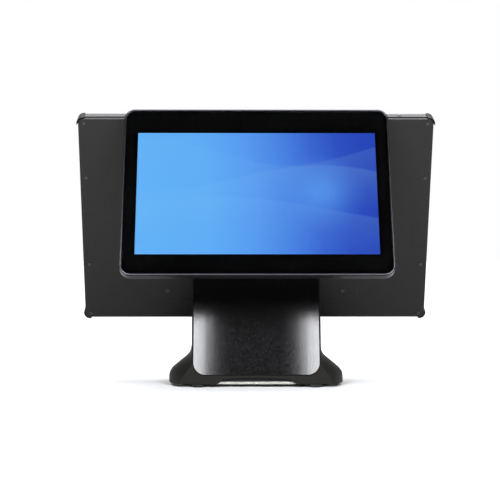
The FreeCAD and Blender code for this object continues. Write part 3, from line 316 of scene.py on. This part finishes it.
# the wallpaper's blues from left to right, as (share of the width, colour)
BLUES = (
    (0.0, linear(101, 179, 249)),
    (0.3, linear(98, 174, 247)),
    (0.5, linear(88, 155, 240)),
    (0.64, linear(75, 133, 229)),
    (0.77, linear(59, 104, 209)),
    (0.89, linear(47, 81, 194)),
    (1.0, linear(41, 71, 185)),
)
# its waves, as (radians per metre across, phase, height as a share, strength)
WAVES = ((17.0, 0.4, 0.62, 0.1), (13.0, 2.1, 0.36, 0.08), (21.0, 4.0, 0.84, 0.07))
WAVE_SWING = 0.11


def picture(name, width, height):
    """A lit display that shows a plain wallpaper: blue from light to deep, with soft waves."""
    s = Surface(name, Roughness=0.6, Specular_IOR_Level=0.0, Emission_Strength=1.0)
    apart = s.node("ShaderNodeSeparateXYZ")
    s.join(s.place, apart.inputs["Vector"])
    across, up = apart.outputs["X"], apart.outputs["Y"]
    share_x = s.span(across, -width / 2, width / 2, 0.0, 1.0)
    share_y = s.span(up, -height / 2, height / 2, 0.0, 1.0)
    # the gradient leans a little: the upper edge runs ahead of the lower one
    lean = s.reckon("MULTIPLY", s.reckon("SUBTRACT", share_y, 0.42), 0.1)
    along = s.reckon("ADD", share_x, s.reckon("MAXIMUM", lean, 0.0))
    base = s.ramp(along, *BLUES)
    # each broad wave is a soft edge that follows a sine curve
    for rate, shift, level, strength in WAVES:
        angle = s.reckon("ADD", s.reckon("MULTIPLY", across, rate), shift)
        swing = s.reckon("MULTIPLY", s.reckon("SINE", angle), WAVE_SWING)
        edge = s.reckon("SUBTRACT", s.reckon("ADD", swing, level), share_y)
        front, tail = s.span(edge, -0.004, 0.012, 0.0, 1.0), s.span(edge, 0.0, 0.34, 1.0, 0.0)
        band = s.reckon("MULTIPLY", front, tail)
        fade = s.span(share_x, 0.1, 0.95, 0.5, 1.0)
        factor = s.reckon("MULTIPLY", s.reckon("MULTIPLY", band, fade), strength)
        base = s.mix(factor, base, linear(150, 214, 255))
    # a soft round glow right of the middle
    centre = s.node("ShaderNodeCombineXYZ")
    centre.inputs["X"].default_value = width * 0.27
    gap = s.node("ShaderNodeVectorMath", operation="DISTANCE")
    flat = s.node("ShaderNodeCombineXYZ")
    s.join(across, flat.inputs["X"])
    s.join(up, flat.inputs["Y"])
    s.join(flat.outputs["Vector"], gap.inputs[0])
    s.join(centre.outputs["Vector"], gap.inputs[1])
    near = s.span(gap.outputs["Value"], 0.008, 0.05, 1.0, 0.0)
    base = s.mix(s.reckon("MULTIPLY", s.reckon("POWER", near, 1.6), 0.5), base, linear(98, 168, 252))
    s.join(base, s.shader.inputs["Emission Color"])
    s.shader.inputs["Base Color"].default_value = linear(0, 0, 0)
    return s.material


MATERIALS = {
    "base_plastic": moulded("base_plastic", linear(18, 17, 13), 1500.0, specular=0.12),
    "neck_plastic": moulded("neck_plastic", linear(18, 17, 14), 1500.0, specular=0.12),
    "back_plastic": moulded("back_plastic", linear(26, 26, 27), 1800.0, specular=0.2),
    "cap_plastic": moulded("cap_plastic", linear(16, 16, 16), specular=0.2),
    "port_plastic": moulded("port_plastic", linear(22, 22, 23)),
    "chip_black": moulded("chip_black", linear(28, 28, 30)),
    "button_plastic": moulded("button_plastic", linear(86, 86, 88), 2600.0, 0.35, 0.5),
    "powder_coat": powder_coat("powder_coat", linear(11, 10, 11), specular=0.23, low=0.34, high=0.46),
    "panel_coat": powder_coat("panel_coat", linear(12, 12, 13), 1900.0, 0.23, 0.34, 0.46),
    "black_steel": powder_coat("black_steel", linear(20, 20, 22), 2400.0, 0.2),
    "cast_arm": powder_coat("cast_arm", linear(22, 22, 24), 900.0, 0.25),
    "satin_cover": satin_paint("satin_cover", linear(8, 8, 9)),
    "bezel_metal": satin_metal("bezel_metal", linear(70, 70, 73), 0.36),
    "display_rim": gloss_paint("display_rim", linear(10, 10, 12), 0.24, 0.1),
    "screw_black": gloss_paint("screw_black", linear(9, 9, 10), 0.1, 0.5),
    "plated_steel": satin_metal("plated_steel", linear(208, 207, 200), 0.36, 900.0, (1.0, 0.2, 1.0)),
    "chassis_steel": satin_metal("chassis_steel", linear(186, 188, 190), 0.34, 1100.0, (0.15, 1.0, 1.0)),
    "port_metal": satin_metal("port_metal", linear(200, 200, 198), 0.24, 1500.0, (0.3, 1.0, 1.0)),
    "fin_aluminium": satin_metal("fin_aluminium", linear(190, 191, 194), 0.3, 1400.0, (0.1, 1.0, 1.0)),
    "rubber": rubber("rubber"),
    "board_green": circuit("board_green"),
    "cover_glass": cover_glass("cover_glass"),
}
gold = satin_metal("gold_contacts", linear(232, 190, 104), 0.22)
trim = satin_metal("trim", linear(98, 98, 108), 0.24)
ink = black_print("black_print")


# ---------------------------------------------------------------- mesh helpers

def shade(bm, limit):
    """Smooth faces, with sharp edges where two faces turn by more than limit degrees."""
    for face in bm.faces:
        face.smooth = True
    for edge in bm.edges:
        turn = edge.calc_face_angle(math.pi)
        edge.smooth = turn < math.radians(limit)


def piece(bm, name, material, body, matrix=None, limit=35.0):
    """A new object from bm that rides on body, with sharp edges past limit degrees."""
    shade(bm, limit)
    mesh = bpy.data.meshes.new(name)
    bm.to_mesh(mesh)
    bm.free()
    mesh.materials.append(material)
    made = bpy.data.objects.new(name, mesh)
    bpy.context.scene.collection.objects.link(made)
    if matrix is not None:
        made.matrix_world = matrix
    # broad flat faces keep their true normals and the narrow rounded edges blend into them
    weighted = made.modifiers.new("weighted_normals", "WEIGHTED_NORMAL")
    weighted.keep_sharp = True
    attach(made, body)
    return made


def body_of(node):
    """Name of the moving body that a CAD node belongs to."""
    return frame["nodes"][node]["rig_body"]


# the record's material slot of each CAD node
SLOTS = {row["node"]: row["material_slot"] for row in frame["record"]["subparts"]}

# points closer than WELD are joined, edges shorter than SLIVER are dropped
WELD = 0.003 * MM
SLIVER = 0.002 * MM
# in degrees: faces that turn by less than FLAT become one, edges that turn by more than SHARP
# are rounded, and edges that still turn by more than SMOOTH_LIMIT are shaded sharp
FLAT = 0.3
SHARP = 32.0
SMOOTH_LIMIT = 28.0


def refined(node, bevel):
    """A finished copy of a CAD node: its facets joined up and its sharp edges rounded."""
    rough = frame["nodes"][node].data.copy()
    rough.attributes.remove(rough.attributes["custom_normal"])
    bm = bmesh.new()
    bm.from_mesh(rough)
    bpy.data.meshes.remove(rough)
    bmesh.ops.remove_doubles(bm, verts=bm.verts, dist=WELD)
    bmesh.ops.dissolve_degenerate(bm, dist=SLIVER, edges=bm.edges)
    bmesh.ops.dissolve_limit(
        bm, angle_limit=math.radians(FLAT), verts=bm.verts, edges=bm.edges,
        use_dissolve_boundaries=False,
    )
    turn = math.radians(SHARP)
    rims = [edge for edge in bm.edges if edge.is_manifold and edge.calc_face_angle(0.0) > turn]
    bmesh.ops.bevel(
        bm, geom=rims, offset=bevel, offset_type="OFFSET", segments=2, profile=0.5,
        affect="EDGES", clamp_overlap=False, miter_outer="ARC",
    )
    slot = SLOTS[node]
    name = node + "_finished"
    made = piece(bm, name, MATERIALS[slot], body_of(node), limit=SMOOTH_LIMIT)
    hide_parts(node)


class Panel:
    """The leaning local frame of a flat CAD node: x right, y up the face, z out of it."""

    def __init__(self, node, facing):
        mesh = frame["nodes"][node].data
        toward = Vector(facing)
        faces = [f for f in mesh.polygons if f.normal.dot(toward) > 0.5]
        normal = max(faces, key=lambda face: face.area).normal.copy()
        right = Vector((1, 0, 0)) if normal.y < 0 else Vector((-1, 0, 0))
        up = normal.cross(right).normalized()
        axes = (right, up, normal)
        spans = [[axis.dot(v.co) for v in mesh.vertices] for axis in axes]
        low = [min(values) for values in spans]
        high = [max(values) for values in spans]
        self.width = high[0] - low[0]
        self.height = high[1] - low[1]
        self.thick = high[2] - low[2]
        middle = [(low[0] + high[0]) / 2, (low[1] + high[1]) / 2, high[2]]
        origin = sum((axis * share for axis, share in zip(axes, middle)), Vector())
        turn = Matrix([[axis[row] for axis in axes] for row in range(3)])
        self.matrix = Matrix.Translation(origin) @ turn.to_4x4()


def outline(width, height, radius, steps=12, middle=(0.0, 0.0)):
    """Points of a rounded rectangle, anticlockwise."""
    points = []
    for turn, (sx, sy) in enumerate(((1, 1), (-1, 1), (-1, -1), (1, -1))):
        for step in range(steps + 1):
            angle = math.pi / 2 * (turn + step / steps)
            x = middle[0] + sx * (width / 2 - radius) + radius * math.cos(angle)
            y = middle[1] + sy * (height / 2 - radius) + radius * math.sin(angle)
            points.append((x, y))
    return points


def slab(rings):
    """A closed solid from rings of equal point counts, each (points, z), joined in order."""
    bm = bmesh.new()
    levels = [[bm.verts.new((x, y, z)) for x, y in points] for points, z in rings]
    for low, high in zip(levels, levels[1:]):
        for index in range(len(low)):
            after = (index + 1) % len(low)
            bm.faces.new((low[index], low[after], high[after], high[index]))
    bm.faces.new(levels[0][::-1])
    bm.faces.new(levels[-1])
    return bm


def rounded_slab(width, height, radius, low, high, edge):
    """A rounded rectangular plate whose front and back rims are rounded by `edge`."""
    steps = 3
    angles = [math.pi / 2 * step / steps for step in range(steps + 1)]
    rings = [(edge * (1 - math.sin(a)), low + edge * (1 - math.cos(a))) for a in angles]
    rings += [(edge * (1 - math.cos(a)), high - edge * (1 - math.sin(a))) for a in angles]
    return slab([
        (outline(width - 2 * shrink, height - 2 * shrink, radius - shrink), z)
        for shrink, z in rings
    ])


def ring_plate(outside, inside, low, high):
    """A flat plate between two outlines of equal point counts."""
    bm = bmesh.new()
    levels = ((outside, low), (outside, high), (inside, high), (inside, low))
    loops = [[bm.verts.new((x, y, z)) for x, y in points] for points, z in levels]
    for low_loop, high_loop in zip(loops, loops[1:] + loops[:1]):
        for index in range(len(low_loop)):
            after = (index + 1) % len(low_loop)
            bm.faces.new((low_loop[index], low_loop[after], high_loop[after], high_loop[index]))
    return bm


# ---------------------------------------------------------------- the two displays

# the print lies just behind the glass and stops short of its edge; the picture fills its window
GLASS_ROUND = 0.25 * MM
PRINT_GAP = 0.02 * MM
PRINT_THICK = 0.05 * MM
PRINT_MARGIN = 0.6 * MM
WINDOW_CORNER = 0.4 * MM
PICTURE_PLAY = 0.1 * MM


def display(name, glass_node, facing, corner, lit_width, lit_height, lit_y):
    """Cover glass, black print behind it and the lit picture in the print's window."""
    panel = Panel(glass_node, facing)
    body = body_of(glass_node)
    bottom = -panel.thick
    clear = MATERIALS["cover_glass"]
    glass = rounded_slab(panel.width, panel.height, corner, bottom, 0.0, GLASS_ROUND)
    glass = piece(glass, name + "_cover_glass", clear, body, panel.matrix)
    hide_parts(glass_node)

    low, high = bottom - PRINT_GAP - PRINT_THICK, bottom - PRINT_GAP
    print_width, print_height = panel.width - 2 * PRINT_MARGIN, panel.height - 2 * PRINT_MARGIN
    print_edge = outline(print_width, print_height, corner - PRINT_MARGIN)
    window = outline(lit_width, lit_height, WINDOW_CORNER, middle=(0.0, lit_y))
    print_sheet = ring_plate(print_edge, window, low, high)
    piece(print_sheet, name + "_black_print", ink, body, panel.matrix)

    lit = outline(lit_width - PICTURE_PLAY, lit_height - PICTURE_PLAY, WINDOW_CORNER, 4)
    place = panel.matrix @ Matrix.Translation((0.0, lit_y, 0.0))
    shown = picture(name + "_picture", lit_width, lit_height)
    piece(slab([(lit, low), (lit, high)]), name + "_lit_picture", shown, body, place)


# the lit areas are those of a wide 11.6 inch and a wide 15.6 inch panel
display("customer", "customer_glass", (0, -1, 0), 9.8 * MM, 256.3 * MM, 144.2 * MM, -1.75 * MM)
display("cashier", "main_glass", (0, 1, 0), 4.3 * MM, 344.2 * MM, 193.6 * MM, 0.0)


# ---------------------------------------------------------------- finished CAD pieces

# how far each node's sharp edges are rounded
FINE = 0.12 * MM
EDGES = {
    "base_housing": 0.35 * MM,
    "base_plate": 0.25 * MM,
    "rubber_feet": 0.3 * MM,
    "base_plate_screws": FINE,
    "neck_front_shell": 0.3 * MM,
    "neck_rear_cover": 0.3 * MM,
    "neck_cover_plate": 0.35 * MM,
    "neck_spine": 0.3 * MM,
    "hinge_washers": FINE,
    "hinge_nuts": FINE,
    "main_front_frame": 0.2 * MM,
    "main_rear_cover": 0.18 * MM,
    "rear_cover_screws": 0.32 * MM,
    "service_panel": 0.15 * MM,
    "service_panel_screws": 0.32 * MM,
    "corner_caps": 0.2 * MM,
    "lan_port": FINE,
    "serial_ports": FINE,
    "cash_drawer_port": FINE,
    "usb_ports": FINE,
    "power_jack": FINE,
    "io_bracket": FINE,
    "main_hinge_plate": 0.3 * MM,
    "hinge_plate_screws": FINE,
    "display_arm": 0.5 * MM,
    "display_arm_washers": FINE,
    "display_arm_screws": FINE,
    "customer_frame": 0.15 * MM,
    "customer_back_cover": 0.2 * MM,
    "customer_back_screws": FINE,
    "customer_hinge_block": 0.3 * MM,
    "customer_hinge_screws": FINE,
    "customer_pivot_pin": 0.2 * MM,
    "power_button": 0.25 * MM,
}
for node, bevel in EDGES.items():
    refined(node, bevel)

# the rest keep their CAD shape; the two screen modules are plain steel cans behind the pictures
for node, thing in frame["nodes"].items():
    if not thing.hide_render:
        thing.data.materials.clear()
        kind = "chassis_steel" if SLOTS[node] == "screen" else SLOTS[node]
        thing.data.materials.append(MATERIALS[kind])


# ---------------------------------------------------------------- small parts

def block(width, depth, height, edge):
    """A rounded-edge block, its middle at the origin."""
    bm = bmesh.new()
    bmesh.ops.create_cube(bm, size=1.0)
    bmesh.ops.scale(bm, vec=(width, depth, height), verts=bm.verts)
    bmesh.ops.bevel(
        bm, geom=bm.edges[:], offset=edge, offset_type="OFFSET", segments=3, profile=0.5,
        affect="EDGES", clamp_overlap=True,
    )
    return bm


def arch_baffle():
    """Foam strip on the base plate that closes the base behind the front arch."""
    width, thick, height = 100.0 * MM, 1.8 * MM, 5.4 * MM
    behind_arch = -61.6 * MM
    plate_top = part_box("base_plate")[1][2]
    gap, edge = 0.05 * MM, 0.4 * MM
    strip = block(width, thick, height, edge)
    place = Matrix.Translation((0.0, behind_arch, plate_top + gap + height / 2))
    piece(strip, "arch_baffle", MATERIALS["port_plastic"], "base", place)


def glass_trim():
    """Thin bright line where the customer display's rim meets the glass."""
    width, height, corner = 285.4 * MM, 195.6 * MM, 11.0 * MM
    line = 0.6 * MM
    outside = outline(width, height, corner)
    inside = outline(width - 2 * line, height - 2 * line, corner - line)
    rim = Panel("customer_frame", (0, -1, 0))
    ring = ring_plate(outside, inside, -0.3 * MM, 0.03 * MM)
    piece(ring, "glass_trim", trim, "customer_display", rim.matrix)


def socket_contacts(name, middle):
    """A row of gold contacts in a socket that opens downwards, middle along the unit's width."""
    count, pitch = 8, 1.02 * MM
    across, along, thick, edge = 0.5 * MM, 8.0 * MM, 0.35 * MM, 0.08 * MM
    up, depth = -112.5 * MM, -9.7 * MM
    pins = bmesh.new()
    for step in range(count):
        pin = block(across, along, thick, edge)
        x = middle + pitch * (step - (count - 1) / 2)
        bmesh.ops.translate(pin, vec=(x, up, depth), verts=pin.verts)
        loose = bpy.data.meshes.new("pin")
        pin.to_mesh(loose)
        pin.free()
        pins.from_mesh(loose)
        bpy.data.meshes.remove(loose)
    rear = Panel("main_rear_cover", (0, -1, 0))
    piece(pins, name, gold, "main_unit", rear.matrix)


arch_baffle()
glass_trim()
socket_contacts("network_contacts", -10.0 * MM)
socket_contacts("serial_contacts_left", -52.0 * MM)
socket_contacts("serial_contacts_right", -32.0 * MM)


# ---------------------------------------------------------------- stage

def floor():
    """Pale round floor, wide enough that no view sees its edge."""
    bm = bmesh.new()
    bmesh.ops.create_circle(bm, cap_ends=True, radius=60.0, segments=64)
    mesh = bpy.data.meshes.new("floor")
    bm.to_mesh(mesh)
    bm.free()
    s = Surface("pale_floor", Specular_IOR_Level=0.1, Roughness=0.8)
    cloud = s.noise(1.5, 2.0)
    s.colour(s.ramp(cloud, (0.3, (0.81, 0.81, 0.81, 1.0)), (0.7, (0.83, 0.83, 0.83, 1.0))))
    mesh.materials.append(s.material)
    made = bpy.data.objects.new("floor", mesh)
    bpy.context.scene.collection.objects.link(made)


def softbox(name, place, target, width, height, radiance):
    """A rectangular lamp at place that faces target and has the given radiance."""
    data = bpy.data.lights.new(name, "AREA")
    data.shape = "RECTANGLE"
    data.size, data.size_y = width, height
    data.energy = radiance * math.pi * width * height
    data.color = (0.95, 0.965, 1.0)
    lamp = bpy.data.objects.new(name, data)
    lamp.location = place
    away = Vector(place) - Vector(target)
    lamp.rotation_mode = "QUATERNION"
    lamp.rotation_quaternion = away.to_track_quat("Z", "Y")
    lamp.visible_camera = False
    bpy.context.scene.collection.objects.link(lamp)


def sun(strength, spread, toward):
    """Broad overhead light that comes from the direction toward, spread degrees wide."""
    data = bpy.data.lights.new("overhead", "SUN")
    data.energy = strength
    data.angle = math.radians(spread)
    lamp = bpy.data.objects.new("overhead", data)
    lamp.rotation_mode = "QUATERNION"
    lamp.rotation_quaternion = Vector(toward).to_track_quat("Z", "Y")
    bpy.context.scene.collection.objects.link(lamp)


def sky(front, rear, backdrop):
    """Dim studio in front, a pale wall behind, and plain white where the camera looks past."""
    world = bpy.data.worlds.new("studio")
    world.use_nodes = True
    tree = world.node_tree
    back = tree.nodes["Background"]
    place = tree.nodes.new("ShaderNodeTexCoord")
    apart = tree.nodes.new("ShaderNodeSeparateXYZ")
    blend = tree.nodes.new("ShaderNodeMapRange")
    blend.interpolation_type = "SMOOTHSTEP"
    # from a view direction a little towards the customer to one well towards the cashier
    set_span(blend, -0.35, 0.6, front, rear)
    tree.links.new(place.outputs["Generated"], apart.inputs["Vector"])
    tree.links.new(apart.outputs["Y"], blend.inputs["Value"])
    tree.links.new(blend.outputs["Result"], back.inputs["Strength"])
    back.inputs["Color"].default_value = (1.0, 1.0, 1.0, 1.0)
    white = tree.nodes.new("ShaderNodeBackground")
    white.inputs["Color"].default_value = (backdrop, backdrop, backdrop, 1.0)
    path = tree.nodes.new("ShaderNodeLightPath")
    choose = tree.nodes.new("ShaderNodeMixShader")
    tree.links.new(path.outputs["Is Camera Ray"], choose.inputs["Fac"])
    tree.links.new(back.outputs["Background"], choose.inputs[1])
    tree.links.new(white.outputs["Background"], choose.inputs[2])
    tree.links.new(choose.outputs["Shader"], tree.nodes["World Output"].inputs["Surface"])
    bpy.context.scene.world = world


def camera():
    """Level camera 1.59 m in front of the terminal and a little left of its middle."""
    data = bpy.data.cameras.new("camera")
    data.lens = 101.57
    data.sensor_width = 36.0
    data.shift_y = 0.0158
    made = bpy.data.objects.new("camera", data)
    made.location = (-0.0253, -1.5918, 0.1401)
    made.rotation_mode = "QUATERNION"
    made.rotation_quaternion = Vector((-0.0119, -0.9999, 0.0)).to_track_quat("Z", "Y")
    bpy.context.scene.collection.objects.link(made)
    bpy.context.scene.camera = made


floor()
sky(front=0.04, rear=1.0, backdrop=1.0)
sun(strength=3.5, spread=65.0, toward=(0.08, 0.25, 0.95))
aim = (0.0, -0.05, 0.08)
softbox("softbox_right", (0.60, -1.28, 0.88), aim, 0.43, 0.8, 21.0)
softbox("softbox_left", (-0.59, -1.30, 0.88), aim, 0.44, 0.8, 21.0)
camera()
bpy.context.scene.view_settings.view_transform = "Standard"
